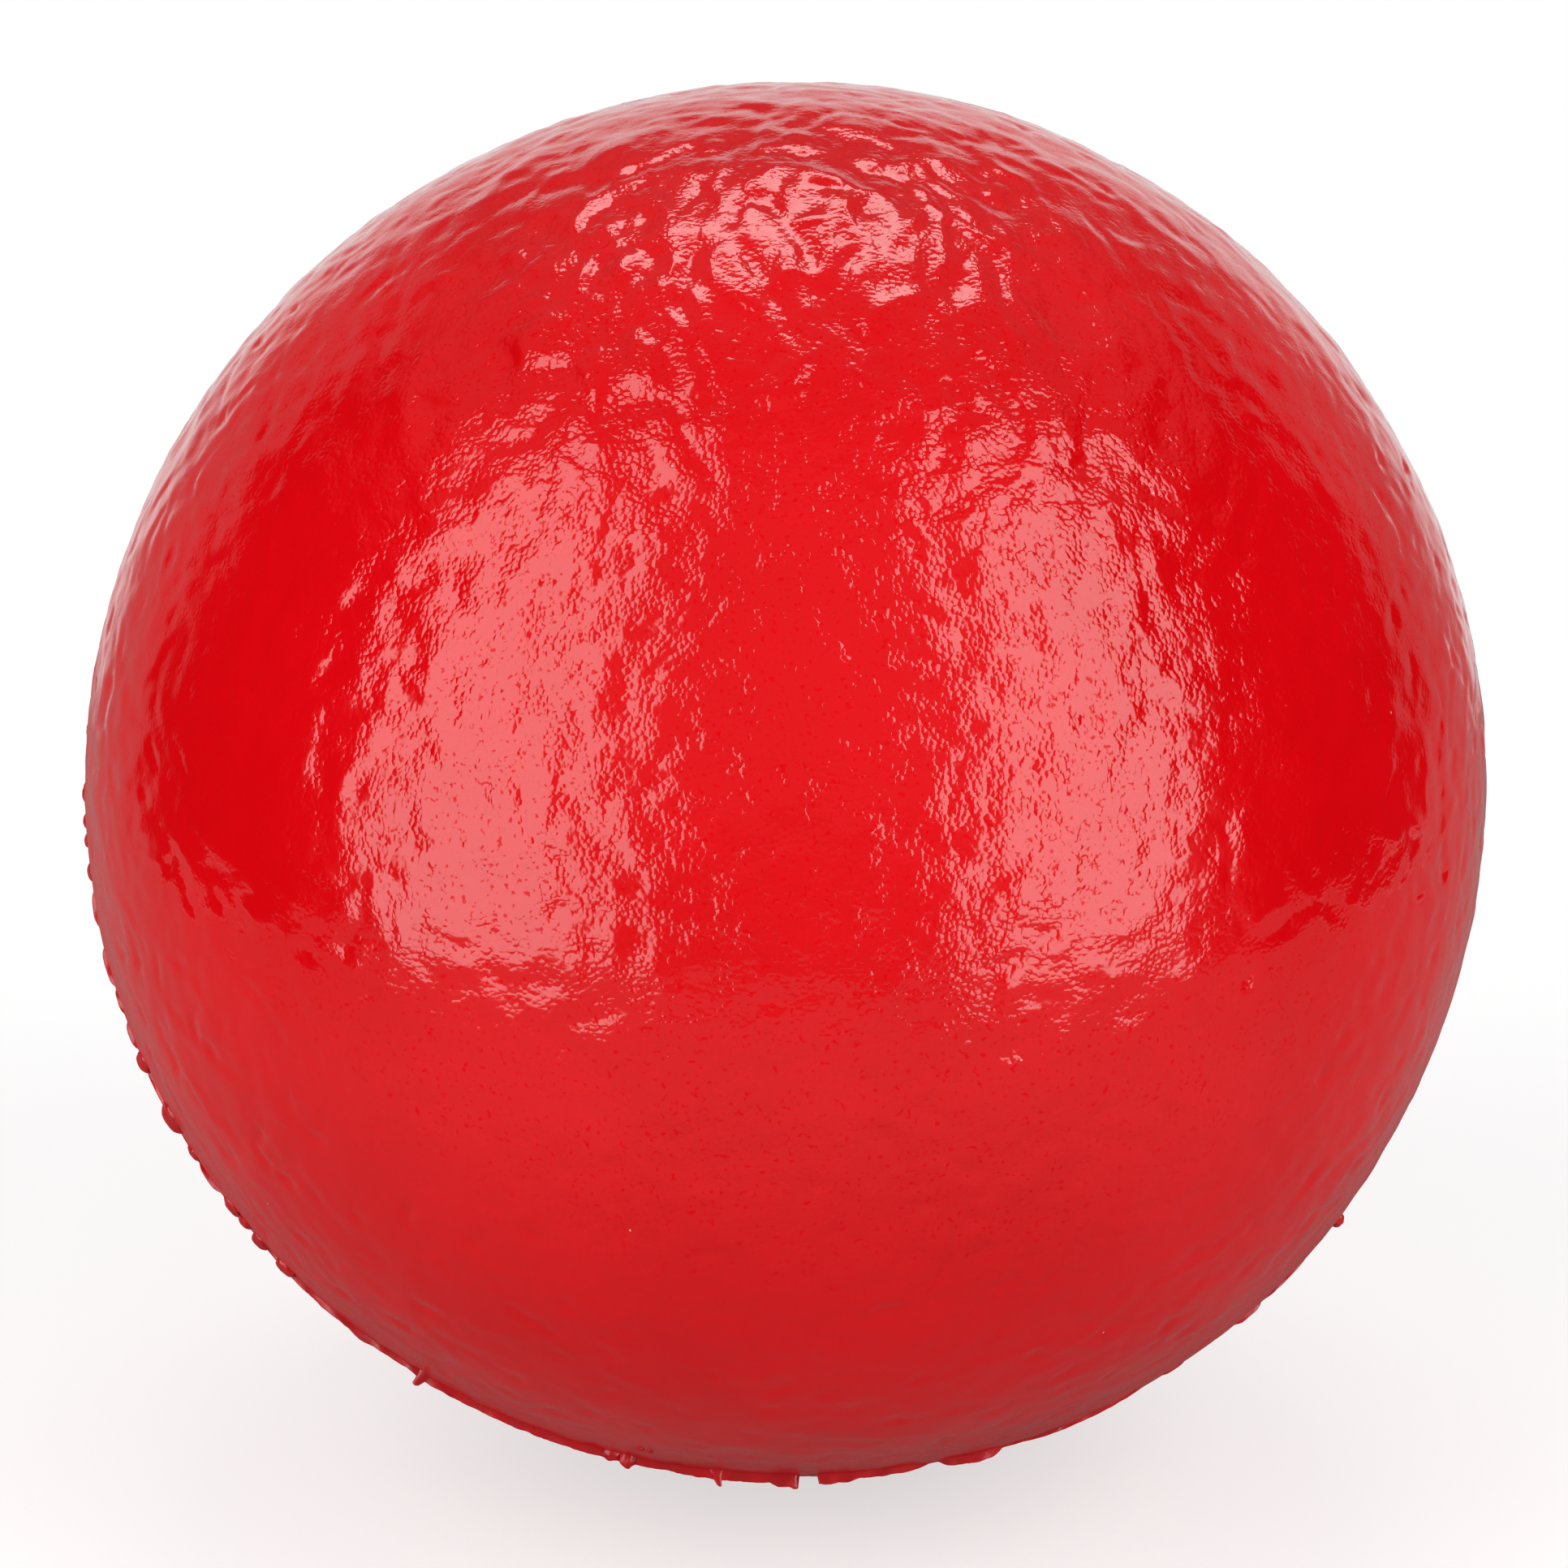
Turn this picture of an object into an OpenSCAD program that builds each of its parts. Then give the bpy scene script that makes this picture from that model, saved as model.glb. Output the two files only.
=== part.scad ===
// Foam dodgeball: a solid foam core in a two-part moulded skin, with the web, drops and nibs that
// squeezed out where the two halves of the skin meet.
//
// The origin is the ball's centre and +Z is up. The front half of the skin faces -Y and leans back,
// so the ball rests on the rear half, clear of the seam. The seam's own frame has its plane at
// height zero and the front half above it. Clock angles run anticlockwise round the seam as seen
// from the front, from zero at the ball's right-hand side (+X).

/* [Ball] */
// Diameter of the ball over its skin
ball_d = 178; // [150:1:220]
// Thickness of the skin on the foam
skin_t = 0.8; // [0.4:0.1:2]
// How far the front of the ball leans back from level, in degrees
front_lean = 30; // [0:1:60]

/* [Seam fin] */
// Thickness of the web of skin between the two halves
web_t = 0.5; // [0.3:0.05:0.9]
// How far the fin stands out all round the ball
fin_low = 0.2; // [0.1:0.05:0.4]
// How far the tallest stretch of the fin stands out
fin_proud = 1.5; // [0.6:0.1:3]
// Width of the notch where the pouring gate was cut away
notch_w = 2.4; // [1:0.1:5]
// Clock angle of the middle of the notch, in degrees
notch_clock = 269.9; // [255:0.1:285]

/* [Seam drops] */
// Length of the longest drop, along the seam
drop_len = 4.6; // [3.4:0.1:6]
// Width of that drop, across the seam
drop_w = 3; // [1.6:0.1:4]
// How far that drop stands out
drop_proud = 1; // [0.5:0.05:1.5]

/* [Vent nibs] */
// Width of a nib at its foot
nib_d = 2.2; // [1.4:0.1:3.2]
// Width of a nib near its rounded tip
nib_tip_d = 0.6; // [0.3:0.05:1]
// How far the tallest nib stands out
nib_proud = 1.9; // [1:0.1:3.5]

/* [Hidden] */
$fn = 96;
// Smoothness of the circles that run round the whole seam, because the fin is very low there
seam_fn = 720;
// Number of facets round a drop
drop_sides = 12;
// How far the fin tails off past a drop's ends, as a share of the drop's length
tail_share = 1.3;

ball_r = ball_d / 2;
core_r = ball_r - skin_t;
// How far a cutter runs past what it cuts
overrun = 2;

skin_red = [0.82, 0.03, 0.06];
seam_red = [0.68, 0.02, 0.05];
foam_cream = [0.93, 0.88, 0.74];

// Stretches of the fin: the clock angle of the middle and the half span, in degrees, and the
// height as a share of the tallest stretch
fin_shares = [
    [189.6, 1.7, 0.40], [194.4, 1.8, 0.48], [197.4, 1.2, 0.32], [200.4, 1.3, 0.40],
    [205.5, 2.6, 0.26], [213.7, 1.6, 0.42], [229.5, 9.5, 0.50], [231.6, 1.7, 0.62],
    [250, 15, 0.58], [268.8, 7.4, 1.00], [274, 5, 0.55], [283.2, 2.7, 0.72],
    [301.2, 1.2, 0.24], [308.8, 1.5, 0.40], [313, 3, 0.24], [334, 5, 0.30],
    [352, 7, 0.36], [18, 9, 0.30], [47, 6, 0.40], [76, 11, 0.34],
    [104, 8, 0.42], [131, 7, 0.30], [152, 6, 0.36], [167, 4, 0.28]
];

// Drops: the clock angle, in degrees, and the size as a share of the longest drop
drop_shares = [
    [174.4, 0.56], [179.8, 0.58], [182.4, 0.52], [183.8, 0.50], [186.4, 0.56],
    [202.8, 0.72], [207.9, 1.00], [211.3, 0.58], [216.7, 0.74], [218.4, 0.52],
    [220.3, 0.72], [223.3, 0.78], [254.7, 0.84], [319.4, 0.58], [341, 0.50],
    [8, 0.58], [33, 0.54], [61, 0.70], [90, 0.50], [118, 0.58], [144, 0.56]
];

// Nibs: the clock angle, in degrees, and the size as a share of the tallest nib
nib_shares = [[237.5, 0.92], [262.5, 1.00], [26, 0.70], [112, 0.78]];

// The seam's frame, leaned back into place on the ball
module in_seam_frame() {
    rotate([90 - front_lean, 0, 0]) children();
}

// The clock angle's own frame: +X points straight out of the ball and +Y runs along the seam
module at_clock(clock) {
    rotate([0, 0, clock]) children();
}

// Everything on the front side of the web, as a slab that holds half the ball
module front_side() {
    side = ball_d + 2 * overrun;
    translate([-side / 2, -side / 2, web_t / 2]) cube([side, side, side / 2]);
}

module half_skin() {
    difference() {
        intersection() {
            sphere(r = ball_r);
            front_side();
        }
        sphere(r = core_r);
    }
}

// The slice of a ball that lies within half_w of the seam plane
module seam_slice(radius, half_w) {
    rotate_extrude($fn = seam_fn) intersection() {
        circle(r = radius, $fn = seam_fn);
        translate([0, -half_w]) square([radius + overrun, 2 * half_w]);
    }
}

// The web fills the gap between the two skins, from the foam out to the ball's surface
module web() {
    difference() {
        seam_slice(ball_r, web_t / 2);
        seam_slice(core_r, web_t);
    }
}

// A disc in the seam plane whose edge comes to a ridge halfway through its thickness
module ridged_disc(radius) {
    for (side = [0, 1]) mirror([0, 0, side])
        cylinder(r1 = radius, r2 = radius - web_t / 4, h = web_t / 2, $fn = seam_fn);
}

// One stretch of the fin: a disc moved towards the clock angle until its edge stands out by
// the height there and meets the ball's surface at each end of the span
module fin_stretch(clock, half_span, height) {
    reach = ball_r * (1 - cos(half_span)) + height;
    shift = height * (2 * ball_r + height) / (2 * reach);
    at_clock(clock) translate([shift, 0, 0]) ridged_disc(ball_r + height - shift);
}

module gate_notch() {
    at_clock(notch_clock) translate([ball_r, -notch_w / 2, -web_t])
        cube([fin_proud + overrun, notch_w, 2 * web_t]);
}

// A drop is a squashed ball with flat facets, turned so that no corner lies on its foot
module drop_form(share) {
    translate([ball_r, 0, 0]) scale([drop_proud, drop_len / 2, drop_w / 2])
        rotate([0, 0, 180 / drop_sides]) sphere(r = share, $fn = drop_sides);
}

// What stands out of the ball to the front of the fin, which runs through the drop as its ridge
module half_drop(share) {
    intersection() {
        drop_form(share);
        translate([ball_r, -drop_len, web_t / 2]) cube([drop_len, 2 * drop_len, drop_len]);
    }
}

// A nib is a short spike with a rounded tip, and its foot starts inside the skin
module nib_form(share) {
    foot_r = share * nib_d / 2;
    tip_r = nib_tip_d / 2;
    spike = skin_t + share * nib_proud - tip_r;
    translate([core_r, 0, 0]) rotate([0, 90, 0]) {
        cylinder(r1 = foot_r, r2 = tip_r, h = spike);
        translate([0, 0, spike]) sphere(r = tip_r);
    }
}

module all_nib_forms() {
    for (place = nib_shares) at_clock(place[0]) nib_form(place[1]);
}

// The solid foam ball inside the skin
module foam_core() {
    color(foam_cream) sphere(r = core_r);
}

// The half of the skin that faces the front
module front_skin() {
    color(skin_red) in_seam_frame() half_skin();
}

// The half of the skin that the ball rests on
module rear_skin() {
    color(skin_red) in_seam_frame() mirror([0, 0, 1]) half_skin();
}

// The web between the two halves of the skin, and the fin that stands out from it and runs
// through the drops as their ridge
module seam_fin() {
    color(seam_red) in_seam_frame() {
        web();
        difference() {
            union() {
                ridged_disc(ball_r + fin_low);
                for (place = fin_shares) fin_stretch(place[0], place[1], place[2] * fin_proud);
                for (place = drop_shares)
                    fin_stretch(place[0], asin(place[1] * tail_share * drop_len / ball_d),
                        place[1] * drop_proud);
            }
            seam_slice(ball_r, web_t);
            gate_notch();
            all_nib_forms();
        }
    }
}

// Drops on the seam, each with a half to either side of the fin
module seam_drops() {
    color(seam_red) in_seam_frame()
        for (place = drop_shares, side = [0, 1])
            at_clock(place[0]) mirror([0, 0, side]) half_drop(place[1]);
}

// Pointed nibs on the seam
module vent_nibs() {
    color(seam_red) in_seam_frame() difference() {
        all_nib_forms();
        seam_slice(ball_r, nib_d);
    }
}

foam_core();
front_skin();
rear_skin();
seam_fin();
seam_drops();
vent_nibs();
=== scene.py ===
"""Foam dodgeball: a foam ball in a creased, glossy red skin, with what was squeezed out at its seam."""
import math

import bmesh
import bpy
from mathutils import Matrix, Vector, noise


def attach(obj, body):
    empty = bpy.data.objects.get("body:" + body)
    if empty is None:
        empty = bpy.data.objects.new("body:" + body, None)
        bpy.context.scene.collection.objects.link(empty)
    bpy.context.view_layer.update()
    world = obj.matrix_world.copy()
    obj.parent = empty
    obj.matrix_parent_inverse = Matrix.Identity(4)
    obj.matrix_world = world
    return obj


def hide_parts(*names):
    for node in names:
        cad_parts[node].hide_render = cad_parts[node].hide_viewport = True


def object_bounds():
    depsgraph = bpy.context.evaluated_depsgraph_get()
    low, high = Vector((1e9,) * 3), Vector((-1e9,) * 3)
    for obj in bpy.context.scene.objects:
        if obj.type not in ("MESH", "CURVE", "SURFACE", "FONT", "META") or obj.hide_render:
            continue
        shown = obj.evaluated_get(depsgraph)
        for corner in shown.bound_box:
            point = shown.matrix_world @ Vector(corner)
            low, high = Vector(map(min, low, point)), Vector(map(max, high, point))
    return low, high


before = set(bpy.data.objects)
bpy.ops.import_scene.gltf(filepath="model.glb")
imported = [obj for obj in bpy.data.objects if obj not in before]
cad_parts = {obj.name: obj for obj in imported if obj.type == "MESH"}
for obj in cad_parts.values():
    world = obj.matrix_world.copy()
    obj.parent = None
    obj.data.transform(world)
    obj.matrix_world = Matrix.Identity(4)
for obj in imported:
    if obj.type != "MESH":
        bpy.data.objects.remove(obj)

cad_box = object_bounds()

# The creases are bent by noise_vector, which starts from the clock unless it is given a seed
CREASE_SEED = 7
noise.seed_set(CREASE_SEED)

# Faces that were spun are put in order along this direction, which is square to none of them
FACE_ORDER = Vector((0.7548, 0.5698, 0.3247))

# Sizes are in millimetres until a piece is finished, as in the part's own source
MM = 0.001
BALL_R = 89.0
CORE_R = 88.2
WEB_T = 0.5
FRONT_LEAN = math.radians(30)

# The seam's own frame has its plane at height zero and the front half of the skin above it
SEAM = Matrix.Rotation(math.pi / 2 - FRONT_LEAN, 3, "X")
FRONT_POLE = SEAM @ Vector((0, 0, 1))


def at(clock, rise=0.0):
    """Direction at a clock angle round the seam and so far above its plane, both in degrees."""
    c, r = math.radians(clock), math.radians(rise)
    return Vector((math.cos(c) * math.cos(r), math.sin(c) * math.cos(r), math.sin(r)))


# The shape of the ball and its skin

# Slow departures of the whole ball from round: clock, rise, millimetres and half width in degrees
BODY_LOBES = [
    (258, -5, -0.52, 24), (313, 1, 0.62, 15), (138, 14, -0.30, 26), (180, 5, 0.20, 22),
    (75, 20, 0.15, 25), (30, -50, 0.35, 35), (200, -60, -0.30, 30), (104, 19, -0.32, 13),
    (289.5, 0, 0.42, 5), (44, 14, 0.32, 12),
]

# Where the skin is crumpled most, and where it is calm: clock, rise, weight and half width
CRUMPLE_LOBES = [
    (92, 58, 1.35, 14), (118, 52, 0.50, 12), (64, 55, 0.60, 12), (90, 74, -0.50, 9),
    (201, 66, 0.16, 15), (350, 72, 0.12, 14), (143, 20, 0.10, 20), (35, 30, 0.10, 22),
    (265, 40, -0.12, 30), (250, 5, -0.10, 30), (100, -40, 0.35, 26), (300, -55, 0.25, 24),
    (190, -30, 0.15, 20),
]

# Where the fine grain is: round the front pole, and in patches behind
GRAIN_LOBES = [(90, 84, 1.45, 26), (90, 71, -0.60, 13), (120, -55, 0.60, 24), (320, -30, 0.50, 22)]

# The folds at the top run up and down the ball, so the pattern is drawn out along this direction
FOLD_RUN = Vector((0.0, 0.866, -0.5))
FOLD_TOP = (90, 60, 0.55, 22)

# Widths of the skin's lumps and creases, in millimetres, and their depths where strength is one
ROLL_W, PILLOW_W, WAVE_W, FOLD_W, DENT_W, SMALL_W = 15, 6.4, 5.6, 4.4, 3.6, 2.6
ROLL_D, PILLOW_D, WAVE_D, FOLD_D, DENT_D = 0.30, 0.28, 0.38, 0.27, 0.80

# The pattern is bent out of line twice, slowly and quickly: width and reach of each, in millimetres
SLOW_BEND_W, SLOW_BEND = 13, 4
QUICK_BEND_W, QUICK_BEND = 4.6, 1.3

# Least, usual and greatest strength of the creases, and the least of the fine grain
CALMEST, CALM, MOST_CRUMPLED = 0.15, 0.42, 1.8
LEAST_GRAIN = 0.06


def lobes(table):
    return [
        (at(clock, rise), amount, 1 / math.radians(width) ** 2)
        for clock, rise, amount, width in table
    ]


BODY = lobes(BODY_LOBES)
CRUMPLE = lobes(CRUMPLE_LOBES)
GRAIN = lobes(GRAIN_LOBES)
DRAW_OUT = lobes([FOLD_TOP])


def lobe_sum(places, d):
    return sum(amount * math.exp((d.dot(c) - 1) * tight) for c, amount, tight in places)


def body_shift(d):
    """How far the whole ball, foam and all, departs from round."""
    return lobe_sum(BODY, d) + 0.12 * noise.noise(d * 2.3 + Vector((7, 1, 4)))


def crumple(d):
    """Strength of the skin's creases, from calm to crumpled."""
    strength = CALM + lobe_sum(CRUMPLE, d) + 0.16 * noise.noise(d * 5 + Vector((3, 9, 2)))
    return min(max(strength, CALMEST), MOST_CRUMPLED)


def fine_grain(d):
    """Strength of the grain that is too fine for the mesh."""
    return min(LEAST_GRAIN + lobe_sum(GRAIN, d), 1.0)


def skin_relief(d, strength):
    """Creases, folds and dents of the skin, in millimetres."""
    p = d * BALL_R
    p -= FOLD_RUN * (p.dot(FOLD_RUN) * lobe_sum(DRAW_OUT, d))
    slow = noise.noise_vector(p / SLOW_BEND_W) * SLOW_BEND
    quick = noise.noise_vector(p / QUICK_BEND_W + Vector((5, 2, 8))) * QUICK_BEND
    q = p + slow + quick
    rolling = noise.noise(p / ROLL_W + Vector((8, 3, 3)))
    wave = noise.noise(q / WAVE_W)
    pillow = min(abs(noise.noise(q / PILLOW_W + Vector((11, 4, 6)))) * 2.2, 0.8)
    small = noise.noise((p + quick) / SMALL_W + Vector((2, 7, 1)))
    fold = 1 - min(abs(noise.noise((p + slow) / FOLD_W + Vector((4, 1, 7)))) * 3, 1)
    dent = max(noise.noise((p + quick) / DENT_W + Vector((1, 5, 9))) - 0.34, 0)
    dent *= 1 - 0.8 * fine_grain(d)
    return (
        ROLL_D * strength * rolling
        + min(strength, 1.4) * (WAVE_D * wave + PILLOW_D * (pillow - 0.35))
        + (0.08 + 0.05 * strength + 0.10 * max(strength - 0.7, 0)) * small
        + FOLD_D * max(strength - 0.5, 0) * fold * fold
        - DENT_D * dent
    )


# Making pieces

# Fineness of the round meshes, where one more step has four times as many triangles
OUTSIDE_STEPS, INSIDE_STEPS, FOAM_STEPS, DROP_STEPS = 8, 6, 7, 5


def finish_piece(bm, name, finish, nodes):
    """Turns a bmesh in the seam's frame and millimetres into a piece of the ball."""
    bmesh.ops.transform(bm, matrix=SEAM.to_4x4() @ Matrix.Scale(MM, 4), verts=bm.verts)
    for f in bm.faces:
        f.smooth = True
    mesh = bpy.data.meshes.new(name)
    bm.to_mesh(mesh)
    bm.free()
    mesh.materials.append(finish)
    piece = bpy.data.objects.new(name, mesh)
    bpy.context.scene.collection.objects.link(piece)
    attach(piece, "root")
    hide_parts(*nodes)
    return piece


def settle_faces(bm):
    """Turns the faces outwards and puts them in a fixed order, which spin changes from run to run."""
    bmesh.ops.recalc_face_normals(bm, faces=bm.faces)
    bm.faces.sort(key=lambda f: f.calc_center_median().dot(FACE_ORDER))


def half_ball(bm, radius, divisions, side):
    """Half a ball of triangles, cut off at the web's face."""
    made = bmesh.ops.create_icosphere(bm, subdivisions=divisions, radius=radius)["verts"]
    edges = [e for v in made for e in v.link_edges]
    faces = [f for v in made for f in v.link_faces]
    # A dict drops repeats and keeps the order, where a set would give another mesh each run
    bmesh.ops.bisect_plane(
        bm, geom=list(dict.fromkeys(made + edges + faces)), dist=1e-4,
        plane_co=(0, 0, side * WEB_T / 2), plane_no=(0, 0, side), clear_inner=True,
    )


def half_skin(name, side, node):
    bm = bmesh.new()
    layer = bm.verts.layers.float.new("grain")
    half_ball(bm, CORE_R, INSIDE_STEPS, side)
    bmesh.ops.reverse_faces(bm, faces=bm.faces[:])
    half_ball(bm, BALL_R, OUTSIDE_STEPS, side)
    rims = [e for e in bm.edges if e.is_boundary]
    bmesh.ops.bridge_loops(bm, edges=rims)
    for v in bm.verts:
        d = v.co.normalized()
        if v.co.length > (BALL_R + CORE_R) / 2:
            v[layer] = fine_grain(d)
            v.co = d * (BALL_R + body_shift(d) + skin_relief(d, crumple(d)))
        else:
            v.co = d * (CORE_R + body_shift(d))
    for e in rims:
        e.smooth = False
    finish_piece(bm, name, skin_finish, [node])


# Finishes


def new_finish(name):
    finish = bpy.data.materials.new(name)
    finish.use_nodes = True
    tree = finish.node_tree
    return finish, tree, tree.nodes["Principled BSDF"]


def add(tree, kind, **inputs):
    """A new node, with the values of its inputs or properties by name."""
    node = tree.nodes.new(kind)
    for name, value in inputs.items():
        if hasattr(node, name):
            setattr(node, name, value)
        else:
            node.inputs[name.replace("_", " ")].default_value = value
    return node


def grain(tree, place, size_mm, detail, roughness=0.5):
    """Noise whose lumps are about size_mm across, on Object coordinates."""
    node = add(tree, "ShaderNodeTexNoise", Scale=1000 / size_mm, Detail=detail, Roughness=roughness)
    tree.links.new(place.outputs["Object"], node.inputs["Vector"])
    return node


def between(tree, source, low, high, to_low=0.0, to_high=1.0):
    node = add(tree, "ShaderNodeMapRange", interpolation_type="SMOOTHSTEP")
    limits = {"From Min": low, "From Max": high, "To Min": to_low, "To Max": to_high}
    for socket, value in limits.items():
        node.inputs[socket].default_value = value
    tree.links.new(source, node.inputs["Value"])
    return node.outputs["Result"]


def maths(tree, operation, a, b):
    node = add(tree, "ShaderNodeMath", operation=operation)
    for socket, value in zip(node.inputs, (a, b)):
        if isinstance(value, (int, float)):
            socket.default_value = value
        else:
            tree.links.new(value, socket)
    return node.outputs["Value"]


def blend_colour(tree, factor, a, b):
    node = add(tree, "ShaderNodeMix", data_type="RGBA")
    tree.links.new(factor, node.inputs["Factor"])
    for socket, value in zip(("A", "B"), (a, b)):
        target = next(i for i in node.inputs if i.name == socket and i.type == "RGBA")
        if isinstance(value, tuple):
            target.default_value = (*value, 1)
        else:
            tree.links.new(value, target)
    return next(o for o in node.outputs if o.type == "RGBA")


def bump(tree, height, depth_mm, under=None):
    node = add(tree, "ShaderNodeBump", Strength=1.0, Distance=depth_mm * MM)
    tree.links.new(height, node.inputs["Height"])
    if under is not None:
        tree.links.new(under, node.inputs["Normal"])
    return node.outputs["Normal"]


# The skin's colours and what is too fine for its mesh: widths and depths, in millimetres
DRIFT_W, SPECK_APART = 34, 9.0
CRINKLE_W, CRINKLE_D = 1.6, 0.10
PEBBLE_W, PEBBLE_D, PEBBLE_PATCH_W = 0.66, 0.065, 2.4
PORE_W = 0.62

# Between these distances from the seam's plane, in metres, the skin's gloss grows to its full
GLOSS_FROM, GLOSS_TO = 0.002, 0.026


def make_skin_finish():
    finish, tree, shader = new_finish("glossy red moulded skin")
    place = add(tree, "ShaderNodeTexCoord")
    # Colour: a slow drift between two reds, and sparse pale specks
    drift = between(tree, grain(tree, place, DRIFT_W, 3).outputs["Fac"], 0.35, 0.65)
    red = blend_colour(tree, drift, (0.545, 0.0006, 0.0028), (0.590, 0.0010, 0.0038))
    speck = add(tree, "ShaderNodeTexVoronoi", feature="F1", Scale=1000 / SPECK_APART)
    tree.links.new(place.outputs["Object"], speck.inputs["Vector"])
    dot = between(tree, speck.outputs["Distance"], 0.010, 0.020, 1.0, 0.0)
    shader.inputs["IOR"].default_value = 1.5
    tree.links.new(blend_colour(tree, dot, red, (0.75, 0.32, 0.30)), shader.inputs["Base Color"])
    # Too fine for the mesh: crinkles and domed pebbles as relief, pores as specks of less gloss
    amount = add(tree, "ShaderNodeAttribute", attribute_name="grain").outputs["Fac"]
    crinkle = grain(tree, place, CRINKLE_W, 1).outputs["Fac"]
    pebble = add(tree, "ShaderNodeTexVoronoi", feature="F1", Scale=1000 / PEBBLE_W)
    patch = grain(tree, place, PEBBLE_PATCH_W, 1)
    tree.links.new(place.outputs["Object"], pebble.inputs["Vector"])
    off = pebble.outputs["Distance"]
    dome = maths(tree, "MULTIPLY", off, maths(tree, "MULTIPLY", off, -1))
    dome = maths(tree, "MULTIPLY", dome, between(tree, patch.outputs["Fac"], 0.3, 0.7, 0.2, 1.8))
    pore = between(tree, grain(tree, place, PORE_W, 1).outputs["Fac"], 0.63, 0.70)
    pore = maths(tree, "MULTIPLY", pore, between(tree, amount, 0.05, 0.30))
    normal = bump(tree, maths(tree, "MULTIPLY", crinkle, amount), CRINKLE_D)
    normal = bump(tree, maths(tree, "MULTIPLY", dome, amount), PEBBLE_D, normal)
    tree.links.new(normal, shader.inputs["Normal"])
    # The skin is glossy, but a pore is dull, and the gloss is softer near the seam
    tree.links.new(between(tree, pore, 0.0, 1.0, 0.5, 0.12), shader.inputs["Specular IOR Level"])
    rise = add(tree, "ShaderNodeVectorMath", operation="DOT_PRODUCT")
    tree.links.new(place.outputs["Object"], rise.inputs[0])
    rise.inputs[1].default_value = FRONT_POLE
    from_seam = maths(tree, "ABSOLUTE", rise.outputs["Value"], 0)
    roughness = between(tree, from_seam, GLOSS_FROM, GLOSS_TO, 0.34, 0.10)
    tree.links.new(roughness, shader.inputs["Roughness"])
    return finish


# The squeezed-out skin: width of its drift in colour, and its grain, in millimetres
FLASH_DRIFT_W, FLASH_GRAIN_W, FLASH_GRAIN_D = 3, 0.7, 0.03


def make_flash_finish():
    finish, tree, shader = new_finish("squeezed-out red darkened as painted shade")
    place = add(tree, "ShaderNodeTexCoord")
    drift = between(tree, grain(tree, place, FLASH_DRIFT_W, 2).outputs["Fac"], 0.35, 0.65)
    # Darker than the skin's red, though it is the same skin: painted shade on the seam's flash, drops and
    # nibs
    red = blend_colour(tree, drift, (0.38, 0.0, 0.003), (0.48, 0.001, 0.004))
    tree.links.new(red, shader.inputs["Base Color"])
    shader.inputs["Roughness"].default_value = 0.28
    shader.inputs["IOR"].default_value = 1.5
    uneven = grain(tree, place, FLASH_GRAIN_W, 3).outputs["Fac"]
    tree.links.new(bump(tree, uneven, FLASH_GRAIN_D), shader.inputs["Normal"])
    return finish


# Width and depth of the foam's cells, in millimetres
CELL_W, CELL_D = 1.6, 0.5


def make_foam_finish():
    finish, tree, shader = new_finish("cream open foam")
    place = add(tree, "ShaderNodeTexCoord")
    cell = add(tree, "ShaderNodeTexVoronoi", feature="F1", Scale=1000 / CELL_W)
    tree.links.new(place.outputs["Object"], cell.inputs["Vector"])
    wall = between(tree, cell.outputs["Distance"], 0.15, 0.75)
    # The cream is darker down in each cell and lighter on its walls: painted shade in the pits, following
    # the bump
    cream_with_painted_pit_shade = blend_colour(tree, wall, (0.62, 0.52, 0.31), (0.88, 0.80, 0.58))
    tree.links.new(cream_with_painted_pit_shade, shader.inputs["Base Color"])
    shader.inputs["Roughness"].default_value = 0.95
    tree.links.new(bump(tree, wall, CELL_D), shader.inputs["Normal"])
    return finish


skin_finish = make_skin_finish()
flash_finish = make_flash_finish()
foam_finish = make_foam_finish()

# The skin and the foam

half_skin("front_skin_creased", 1, "front_skin")
half_skin("rear_skin_creased", -1, "rear_skin")

# How far the foam lies inside the skin, and how deep the pits of its cut cells are at most
FOAM_GAP = 0.05
FOAM_PITS = 0.08


def foam_ball():
    bm = bmesh.new()
    bmesh.ops.create_icosphere(bm, subdivisions=FOAM_STEPS, radius=CORE_R)
    for v in bm.verts:
        d = v.co.normalized()
        v.co = d * (CORE_R - FOAM_GAP + body_shift(d) - FOAM_PITS * abs(noise.noise(d * 60)))
    core = finish_piece(bm, "foam_core_porous", foam_finish, ["foam_core"])


foam_ball()

# What squeezed out at the seam

# Stretches of the fin: clock angle of the middle, half span in degrees, height in millimetres
FIN_STRETCHES = [
    (189.6, 1.7, 0.60), (194.4, 1.8, 0.72), (197.4, 1.2, 0.48), (200.4, 1.3, 0.60),
    (205.5, 2.6, 0.40), (213.7, 1.6, 0.63), (229.5, 9.5, 0.70), (231.6, 1.7, 0.93),
    (240, 5, 0.95), (250, 15, 1.00), (264, 8, 1.15), (268.3, 2.0, 1.60),
    (268.8, 0.7, 1.85), (271.6, 3.2, 1.30), (275.5, 4.5, 0.85), (283.2, 2.7, 1.15),
    (293, 6, 0.45), (301.2, 1.2, 0.36), (308.8, 1.5, 0.60), (313, 3, 0.36),
    (334, 5, 0.45), (352, 7, 0.54), (18, 9, 0.45), (47, 6, 0.60),
    (76, 11, 0.51), (104, 8, 0.63), (131, 7, 0.45), (152, 6, 0.54),
    (167, 4, 0.42),
]

# Clock angles of the notch's sides, and heights of the fin all round and in the notch
GATE_NOTCH = (269.1, 270.65)
LOWEST_FIN = 0.16
NOTCH_FLOOR = -0.15

# Steps of the fin's mesh round the ball, and how far its edge wanders to the front and back
FIN_STEPS = 2400
FIN_WANDER = 0.35

# How far the fin and the drops start below the skin's surface
SUNK = 0.04


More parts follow.
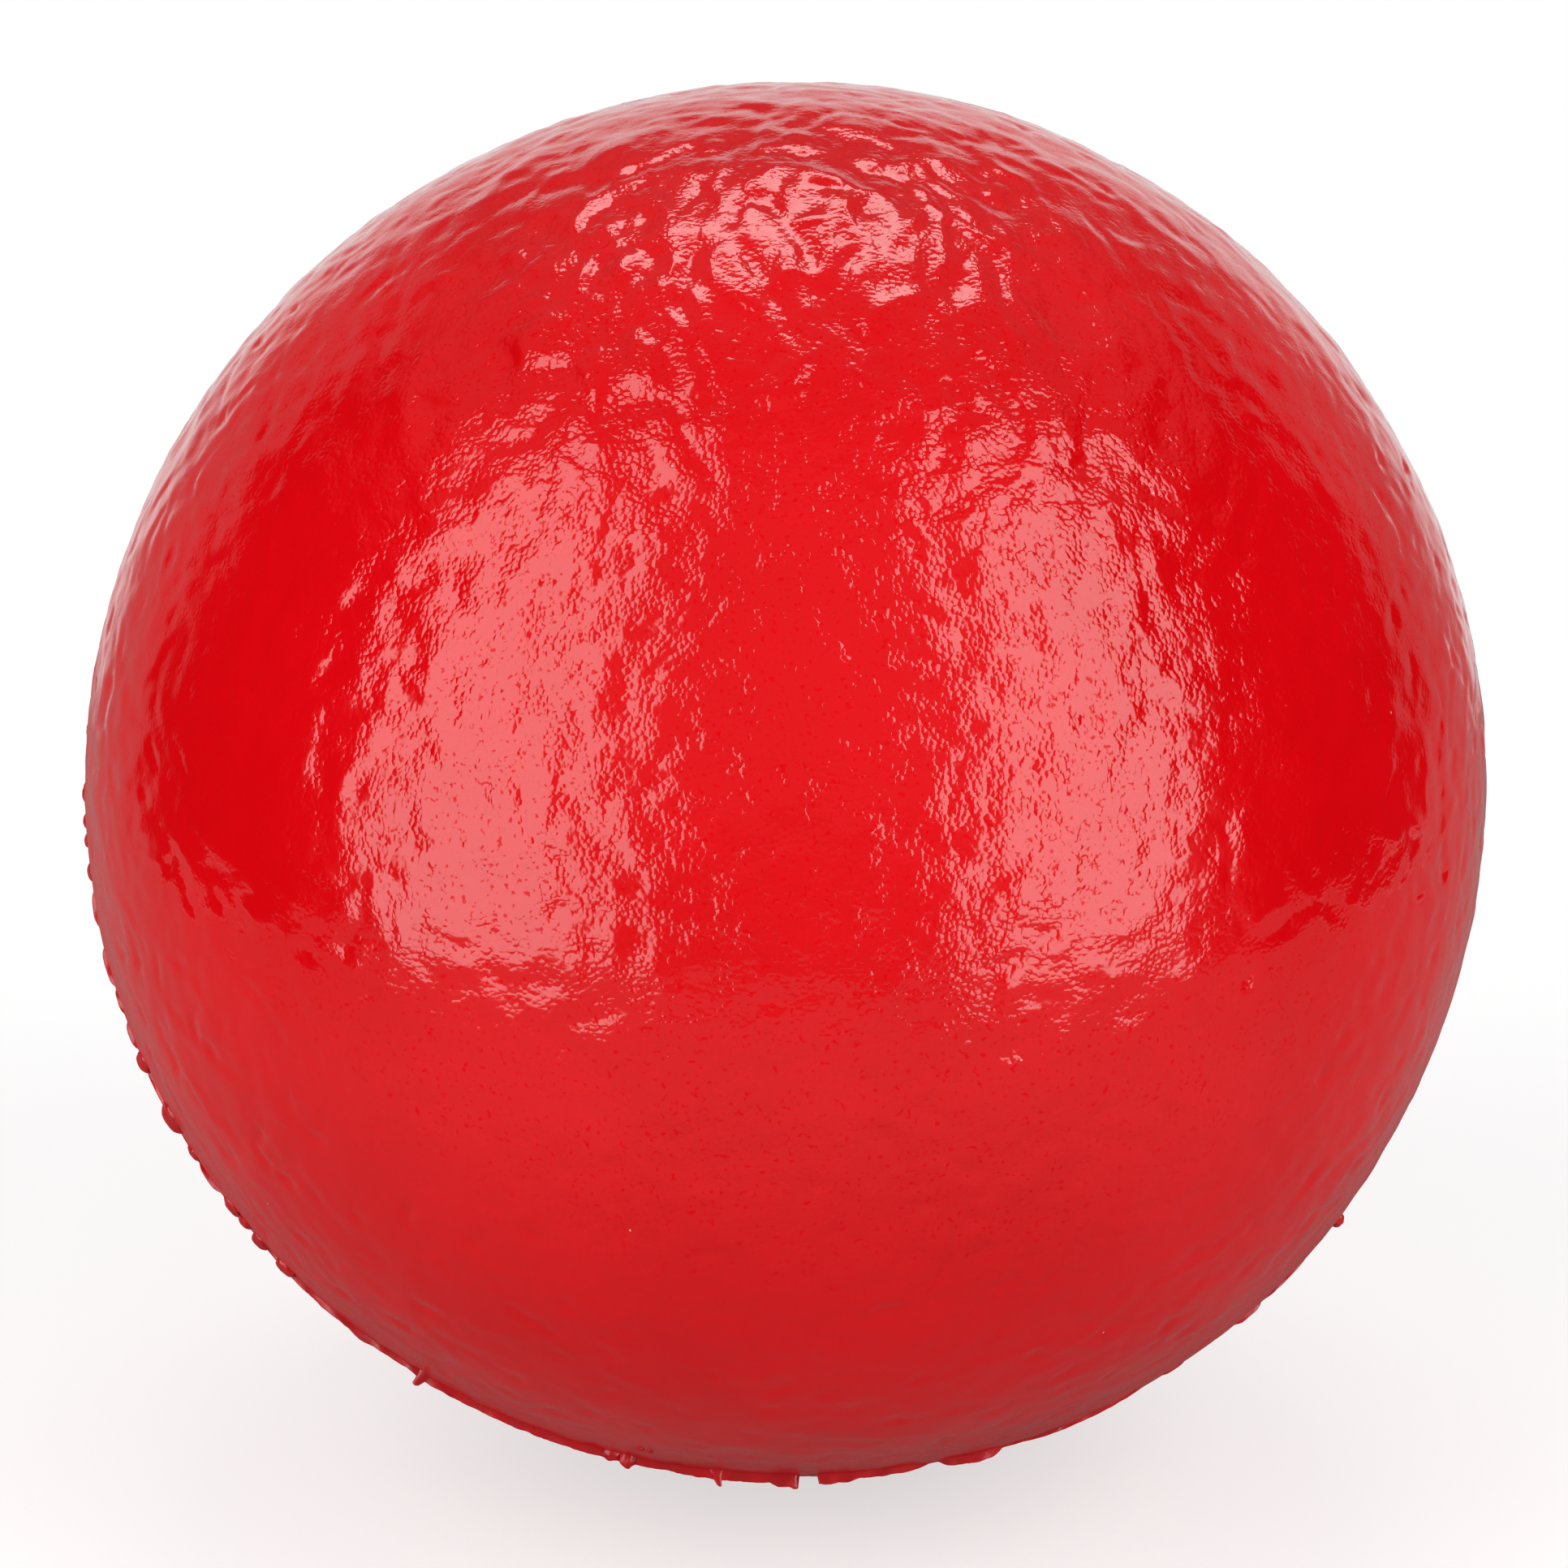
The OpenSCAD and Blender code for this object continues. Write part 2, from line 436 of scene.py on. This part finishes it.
def fin_height(clock):
    """Height of the fin at a clock angle: its stretches, with a ragged edge."""
    if GATE_NOTCH[0] < clock < GATE_NOTCH[1]:
        return NOTCH_FLOOR
    height = LOWEST_FIN
    for middle, half_span, proud in FIN_STRETCHES:
        off = abs((clock - middle + 180) % 360 - 180) / half_span
        if off < 1:
            height = max(height, proud * (1 - off ** 3) ** 0.8)
    d = at(clock)
    ragged = noise.noise(d * 60) * 0.14 + noise.noise(d * 170) * 0.05
    return height * (1 + ragged)


# Cross-section of the web and fin: radius, or the share of the fin's height past the ball, and offset
FIN_SECTION = [
    (CORE_R, -0.24), (CORE_R + 0.4, -0.24), (BALL_R - 0.05, -0.24), (BALL_R + 0.35, -0.17),
    (BALL_R + 0.80, -0.10), (BALL_R + 0.97, -0.05), (BALL_R + 1.0, 0.0), (BALL_R + 0.97, 0.05),
    (BALL_R + 0.80, 0.10), (BALL_R + 0.35, 0.17), (BALL_R - 0.05, 0.24), (CORE_R + 0.4, 0.24),
    (CORE_R, 0.24),
]


def seam_fin():
    bm = bmesh.new()
    ring = bmesh.ops.create_circle(bm, segments=len(FIN_SECTION), radius=1)["verts"]
    for v, (out, across) in zip(ring, FIN_SECTION):
        v.co = (out, 0, across)
    bmesh.ops.spin(
        bm, geom=bm.verts[:] + bm.edges[:], cent=(0, 0, 0), axis=(0, 0, 1),
        angle=2 * math.pi, steps=FIN_STEPS, use_merge=True,
    )
    for v in bm.verts:
        out, z = math.hypot(v.co.x, v.co.y), v.co.z
        d = Vector((v.co.x, v.co.y, 0)).normalized()
        clock = math.degrees(math.atan2(d.y, d.x)) % 360
        past = out - BALL_R
        if past > 0:
            ground = BALL_R + body_shift(d) - SUNK
            radius = ground + past * fin_height(clock)
            z += past * (FIN_WANDER * noise.noise(d * 40 + Vector((4, 4, 1))))
        else:
            radius = out + body_shift(d)
        v.co = (d.x * radius, d.y * radius, z)
    settle_faces(bm)
    finish_piece(bm, "seam_fin_ragged", flash_finish, ["seam_fin"])


seam_fin()

# Drops: clock, offset to the front, length along the seam, width across it and height, in
# millimetres but for the clock, and how far the crest is pinched
DROPS = [
    (174.5, 0.0, 2.4, 2.6, 0.50, 0.3), (179.8, 0.2, 2.7, 3.0, 0.62, 0.4),
    (182.2, 0.3, 2.0, 2.6, 0.60, 0.3), (183.8, 0.2, 1.9, 2.6, 0.60, 0.3),
    (186.4, 0.0, 2.4, 2.6, 0.60, 0.4), (202.8, 0.3, 3.1, 3.4, 0.92, 0.7),
    (207.9, 0.5, 4.6, 4.4, 1.10, 0.9), (211.3, 0.2, 2.6, 2.8, 0.62, 0.5),
    (216.7, 0.2, 3.3, 3.0, 0.75, 0.5), (218.3, 0.2, 2.3, 2.6, 0.72, 0.4),
    (220.3, 0.2, 3.1, 3.2, 0.95, 0.5), (223.3, 0.2, 3.4, 3.2, 0.95, 0.6),
    (253.9, 0.0, 2.3, 1.6, 1.15, 0.2), (255.3, 0.0, 2.3, 1.6, 1.65, 0.2),
    (319.4, 0.3, 2.1, 2.4, 0.95, 0.2), (341, 0.0, 2.3, 2.6, 0.55, 0.4),
    (8, 0.2, 2.8, 2.8, 0.70, 0.5), (33, -0.2, 2.5, 2.4, 0.60, 0.3),
    (61, 0.1, 3.1, 3.0, 0.75, 0.6), (90, -0.2, 2.3, 2.4, 0.55, 0.3),
    (118, 0.2, 2.7, 2.6, 0.62, 0.5), (144, 0.1, 2.8, 2.8, 0.60, 0.4),
    (256.0, 8.8, 1.2, 1.2, 0.42, 0.0), (256.8, 8.6, 1.0, 1.1, 0.36, 0.0),
]


def add_drop(bm, clock, forward, length, width, height, pinch):
    """One drop, sunk by half into the skin: a lump flattened along the seam, with a crest."""
    lump = bmesh.ops.create_icosphere(bm, subdivisions=DROP_STEPS, radius=1)["verts"]
    turn = Matrix.Rotation(math.radians(clock), 3, "Z")
    ground = BALL_R + body_shift(at(clock))
    seed = Vector((clock, forward, length))
    for v in lump:
        x, y, z = v.co
        uneven = 1 + 0.14 * noise.noise(Vector((x, y, z)) * 1.7 + seed)
        crest = 1 - pinch * 0.45 * min(abs(z) * 1.6, 1) if x > 0 else 1
        shape = Vector((
            x * height * crest * uneven - SUNK,
            y * length / 2 * uneven,
            z * width / 2 * uneven + forward,
        ))
        shape.x += ground - (shape.y ** 2 + shape.z ** 2) / (2 * BALL_R)
        v.co = turn @ shape


def seam_drops():
    bm = bmesh.new()
    for drop in DROPS:
        add_drop(bm, *drop)
    finish_piece(bm, "seam_drops_rounded", flash_finish, ["seam_drops"])


seam_drops()

# How far inside the skin a nib starts, its thickness across the seam as a share of its width
# along it, and the sides and rings of its mesh
NIB_ROOT = 0.45
NIB_FLATTEN = 0.32
NIB_SIDES, NIB_RINGS = 28, 12

# Nibs: clock, foot width, height, tip width, and how far the tip leans along the seam
NIBS = [
    (237.5, 2.7, 1.85, 0.8, -0.45), (262.4, 3.0, 1.95, 0.5, 0.8),
    (26, 1.9, 1.35, 0.5, 0.3), (112, 2.1, 1.5, 0.5, -0.4),
]


def add_nib(bm, clock, foot, height, tip, lean):
    """One nib: a waisted profile spun round, then leaned along the seam and stood on the ball."""
    outline = [(0.0, 0.0)]
    for i in range(NIB_RINGS + 1):
        up = i / NIB_RINGS * 0.92
        outline.append((tip / 2 + (foot - tip) / 2 * (0.55 * (1 - up) + 0.45 * (1 - up) ** 3), up))
    outline += [(tip / 2 * 0.85, 0.95), (tip / 2 * 0.5, 0.985), (0.0, 1.0)]
    verts = [bm.verts.new((out, 0, up)) for out, up in outline]
    edges = [bm.edges.new(pair) for pair in zip(verts, verts[1:])]
    bmesh.ops.spin(
        bm, geom=verts + edges, cent=(0, 0, 0), axis=(0, 0, 1),
        angle=2 * math.pi, steps=NIB_SIDES, use_merge=True,
    )
    unplaced = [v for v in bm.verts if v.co.length < CORE_R / 2]
    bmesh.ops.remove_doubles(bm, verts=unplaced, dist=1e-4)
    turn = Matrix.Rotation(math.radians(clock), 3, "Z")
    ground = BALL_R + body_shift(at(clock))
    for v in bm.verts:
        if v.co.length > CORE_R / 2:
            continue
        x, y, up = v.co
        rise = ground - NIB_ROOT + up * (height + NIB_ROOT)
        v.co = turn @ Vector((rise, x + lean * abs(up) ** 1.6, y * NIB_FLATTEN))


def vent_nibs():
    bm = bmesh.new()
    for nib in NIBS:
        add_nib(bm, *nib)
    settle_faces(bm)
    finish_piece(bm, "vent_nibs_pointed", flash_finish, ["vent_nibs"])


vent_nibs()

# Stage, lights and camera, in metres

# Radii of the floor, of the card that paints the floor's reflection and of the card that paints the
# studio's reflection, how far the floor and its card lie below the ball, and the card's width from side
# to side as a share of its depth
FLOOR_R, CARD_R, STUDIO_R = 0.40, 0.46, 4
FLOOR_DROP, CARD_DROP = 0.0006, 0.0003
CARD_NARROW = 0.84

# The camera: its height above level, how far it stands to the left, and half the angle that the
# ball fills
CAMERA_RISE, CAMERA_LEFT, BALL_HALF_ANGLE = math.radians(18), math.radians(3.8), math.radians(7.5)

# The frame's width and the lens's focal length, in the photograph's pixels
FRAME_PX = 1932
FOCAL_PX = 6547


def stage_thing(bm, name, paint_name):
    """A thing of the stage, and the empty node tree of its paint."""
    mesh = bpy.data.meshes.new(name)
    bm.to_mesh(mesh)
    bm.free()
    thing = bpy.data.objects.new(name, mesh)
    bpy.context.scene.collection.objects.link(thing)
    paint = bpy.data.materials.new(paint_name)
    paint.use_nodes = True
    paint.node_tree.nodes.clear()
    mesh.materials.append(paint)
    return thing, paint.node_tree


def seen_directly(tree):
    """One for the camera and for reflections, and zero for the diffuse light on the ball."""
    path = add(tree, "ShaderNodeLightPath")
    seen = maths(tree, "MAXIMUM", path.outputs["Is Camera Ray"], path.outputs["Is Glossy Ray"])
    return maths(tree, "MAXIMUM", seen, path.outputs["Is Transmission Ray"])


def shine(tree, strength):
    """Makes a stage thing shine white, with a strength that may change over it."""
    light = add(tree, "ShaderNodeEmission", Color=(1, 1, 1, 1))
    tree.links.new(strength, light.inputs["Strength"])
    out = add(tree, "ShaderNodeOutputMaterial")
    tree.links.new(light.outputs[0], out.inputs["Surface"])


def make_floor():
    bm = bmesh.new()
    bmesh.ops.create_circle(bm, cap_ends=True, segments=128, radius=FLOOR_R)
    bmesh.ops.translate(bm, vec=(0, 0, cad_box[0].z - FLOOR_DROP), verts=bm.verts)
    floor, tree = stage_thing(bm, "floor", "pale floor")
    seen = seen_directly(tree)
    matt = add(tree, "ShaderNodeBsdfDiffuse")
    tree.links.new(between(tree, seen, 0, 1, 0.64, 0.42), matt.inputs["Color"])
    lift = add(tree, "ShaderNodeEmission", Color=(1, 1, 1, 1))
    tree.links.new(maths(tree, "MULTIPLY", seen, 0.60), lift.inputs["Strength"])
    both = add(tree, "ShaderNodeAddShader")
    tree.links.new(matt.outputs[0], both.inputs[0])
    tree.links.new(lift.outputs[0], both.inputs[1])
    out = add(tree, "ShaderNodeOutputMaterial")
    tree.links.new(both.outputs[0], out.inputs["Surface"])


def only_in_gloss(thing):
    """The skin's gloss sees this card, and nothing else does."""
    thing.visible_camera = thing.visible_diffuse = thing.visible_shadow = False
    thing.visible_transmission = thing.visible_volume_scatter = False


def make_painted_floor_reflection():
    """The floor as the skin's gloss sees it, painted as a glow: a painted shadow dim by the ball, painted
    light brighter further out and in front.
    """
    bm = bmesh.new()
    bmesh.ops.create_circle(bm, cap_ends=True, segments=128, radius=CARD_R)
    bmesh.ops.scale(bm, vec=(CARD_NARROW, 1, 1), verts=bm.verts)
    card, tree = stage_thing(bm, "painted floor reflection card", "painted floor reflection")
    card.location.z = cad_box[0].z - CARD_DROP
    place = add(tree, "ShaderNodeTexCoord")
    axes = add(tree, "ShaderNodeSeparateXYZ")
    tree.links.new(place.outputs["Object"], axes.inputs["Vector"])
    reach = add(tree, "ShaderNodeVectorMath", operation="LENGTH")
    tree.links.new(place.outputs["Object"], reach.inputs[0])
    # Dimmest by the ball: a painted shadow of the ball on the floor
    out = between(tree, reach.outputs["Value"], 0.02, 0.22, 0.15, 0.26)
    # Brighter ahead of the ball: a painted pool of light
    forward = maths(tree, "MULTIPLY", axes.outputs["Y"], -1)
    ahead = maths(tree, "DIVIDE", forward, maths(tree, "MAXIMUM", reach.outputs["Value"], 0.01))
    far = between(tree, reach.outputs["Value"], 0.07, 0.20)
    painted_light_ahead = maths(tree, "MULTIPLY", between(tree, ahead, 0.0, 1.0, 0.0, 0.18), far)
    shine(tree, maths(tree, "ADD", out, painted_light_ahead))
    only_in_gloss(card)


def make_studio_card():
    """The studio as the skin's gloss sees it, painted as a glow: dim in front, dark at the sides, bright
    behind.
    """
    bm = bmesh.new()
    bmesh.ops.create_icosphere(bm, subdivisions=5, radius=STUDIO_R)
    card, tree = stage_thing(bm, "studio card", "painted studio reflection")
    place = add(tree, "ShaderNodeTexCoord")
    turned = add(tree, "ShaderNodeMapping")
    turned.inputs["Rotation"].default_value = (0, 0, CAMERA_LEFT)
    tree.links.new(place.outputs["Object"], turned.inputs["Vector"])
    axes = add(tree, "ShaderNodeSeparateXYZ")
    tree.links.new(turned.outputs["Vector"], axes.inputs["Vector"])
    back = maths(tree, "MULTIPLY", axes.outputs["Y"], 1 / STUDIO_R)
    up = maths(tree, "MULTIPLY", axes.outputs["Z"], 1 / STUDIO_R)
    # A painted reflection of the studio: walls and a bright glow behind, dim light in front and above
    wall = between(tree, back, 0.46, 0.58, 0.01, 0.25)
    glow = between(tree, back, 0.80, 0.94, 0.0, 0.62)
    low = between(tree, up, 0.66, 0.46)
    behind = maths(tree, "MULTIPLY", maths(tree, "ADD", wall, glow), low)
    front = between(tree, up, 0.0, 0.3, 0.15, 0.24)
    front = maths(tree, "MULTIPLY", between(tree, back, -0.15, -0.45), front)
    above = between(tree, back, -0.3, 0.3, 0.14, 0.25)
    above = maths(tree, "MULTIPLY", between(tree, up, 0.50, 0.75), above)
    shine(tree, maths(tree, "ADD", behind, maths(tree, "MAXIMUM", front, above)))
    only_in_gloss(card)


make_floor()
make_painted_floor_reflection()
make_studio_card()


def area_light(name, centre, across, up, width, height, radiance, in_gloss=True):
    """A softbox: a flat rectangle that shines evenly, with the radiance that its reflection needs."""
    across, up = Vector(across).normalized(), Vector(up).normalized()
    data = bpy.data.lights.new(name, "AREA")
    data.shape = "RECTANGLE"
    data.size, data.size_y = width, height
    data.energy = radiance * math.pi * width * height
    lamp = bpy.data.objects.new(name, data)
    lamp.visible_glossy = in_gloss
    back = across.cross(up).normalized()
    turn = Matrix((across, back.cross(across), back)).transposed()
    lamp.matrix_world = Matrix.Translation(centre) @ turn.to_4x4()
    bpy.context.scene.collection.objects.link(lamp)


area_light(
    "softbox left", (-0.942, -0.542, 0.920), across=(0.830, -0.536, 0.154), up=(-0.086, 0.150, 0.985),
    width=0.86, height=2.45, radiance=3.6,
)
area_light(
    "softbox right", (1.023, -0.844, 0.651), across=(0.863, 0.482, -0.150), up=(-0.033, 0.349, 0.937),
    width=0.90, height=2.30, radiance=4.0,
)
area_light(
    "strip above", (0.08, 0.615, 1.33), across=(1, 0.06, 0), up=(-0.06, 1, 0),
    width=0.76, height=0.44, radiance=4.4,
)
area_light(
    "fill behind", (0, 2.4, 0.9), across=(-1, 0, 0), up=(0, -0.35, 0.94),
    width=2.0, height=2.0, radiance=1.8, in_gloss=False,
)


def make_world():
    world = bpy.data.worlds.new("white studio")
    bpy.context.scene.world = world
    world.use_nodes = True
    tree = world.node_tree
    tree.nodes.clear()
    light = add(tree, "ShaderNodeBackground", Color=(1, 1, 1, 1))
    strength = between(tree, seen_directly(tree), 0.0, 1.0, 0.17, 1.0)
    tree.links.new(strength, light.inputs["Strength"])
    out = add(tree, "ShaderNodeOutputWorld")
    tree.links.new(light.outputs[0], out.inputs["Surface"])


make_world()


def make_camera():
    """A long lens 18 degrees above the ball and a little to the left of its front."""
    level = math.cos(CAMERA_RISE)
    away = Vector((-math.sin(CAMERA_LEFT) * level, -math.cos(CAMERA_LEFT) * level, math.sin(CAMERA_RISE)))
    data = bpy.data.cameras.new("camera")
    data.sensor_width = 36
    data.lens = data.sensor_width * FOCAL_PX / FRAME_PX
    data.shift_x, data.shift_y = -2 / FRAME_PX, -3.5 / FRAME_PX
    data.clip_start, data.clip_end = 0.01, 20
    camera = bpy.data.objects.new("camera", data)
    camera.location = away * (BALL_R * MM / math.sin(BALL_HALF_ANGLE))
    camera.rotation_euler = (-away).to_track_quat("-Z", "Y").to_euler()
    bpy.context.scene.collection.objects.link(camera)
    bpy.context.scene.camera = camera


make_camera()
bpy.context.scene.view_settings.view_transform = "Standard"
